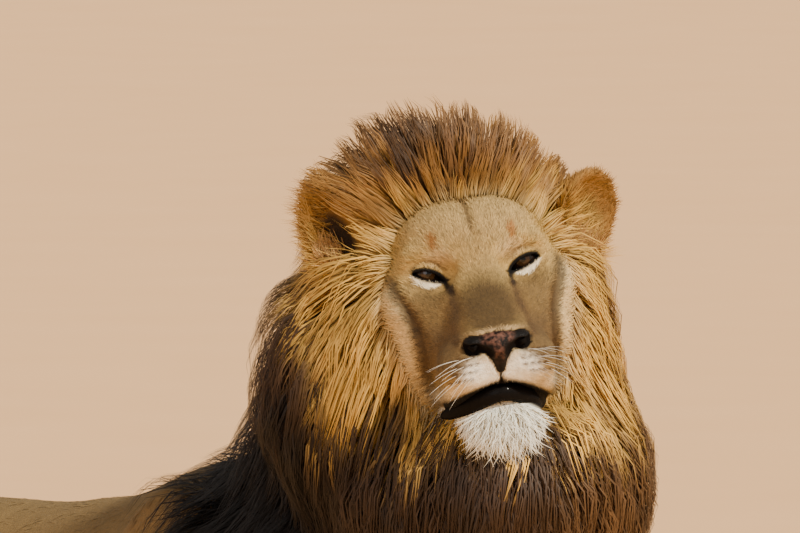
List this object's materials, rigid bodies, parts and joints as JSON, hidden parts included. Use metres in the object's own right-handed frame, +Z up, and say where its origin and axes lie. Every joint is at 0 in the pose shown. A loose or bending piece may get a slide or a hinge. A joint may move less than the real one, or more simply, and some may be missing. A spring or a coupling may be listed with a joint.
{
  "type": "lying male lion",
  "caption": "Life-size still model of a maned male lion, lying on its chest with its head raised and turned to its right.",
  "frame": {"origin": "on the floor, under the breastbone, in the middle of the flat that the chest rests on", "axes": "+Z up; the lion lies along Y with its head and forepaws towards -Y and its tail towards +Y; +X is its left"},
  "size_m": [0.833, 1.8532, 0.9493],
  "materials": {
    "coat": "short flat tawny fur, grey-buff on the forehead, cream round the eyes, lips and chin",
    "mane": "long soft locks, golden round the face and black-brown low down and behind",
    "nose": "bare damp black skin with a brown-pink top",
    "eye": "wet and glossy, amber-brown round a black pupil",
    "lip": "black, bare and wet, shining in the middle of the lower lip",
    "claw": "smooth dark horn, paler at the root",
    "whisker": "stiff white hair"
  },
  "bodies": {
    "root": {"head": "coat", "lower_jaw": "coat", "nose": "nose", "eye_left": "eye", "eye_right": "eye", "ear_left": "coat", "ear_right": "coat", "mane_crest": "mane", "mane_ruff_left": "mane", "mane_ruff_right": "mane", "mane_throat": "mane", "mane_chest": "mane", "neck": "mane", "chest": "coat", "loins": "coat", "rump": "coat", "upper_foreleg_left": "coat", "upper_foreleg_right": "coat", "forearm_left": "coat", "forearm_right": "coat", "forepaw_left": "coat", "forepaw_right": "coat", "thigh_left": "coat", "thigh_right": "coat", "shank_left": "coat", "shank_right": "coat", "hind_foot_left": "coat", "hind_foot_right": "coat", "tail_root": "coat", "tail_middle": "coat", "tail_end": "coat", "tail_tuft": "mane"}
  },
  "joints": []
}
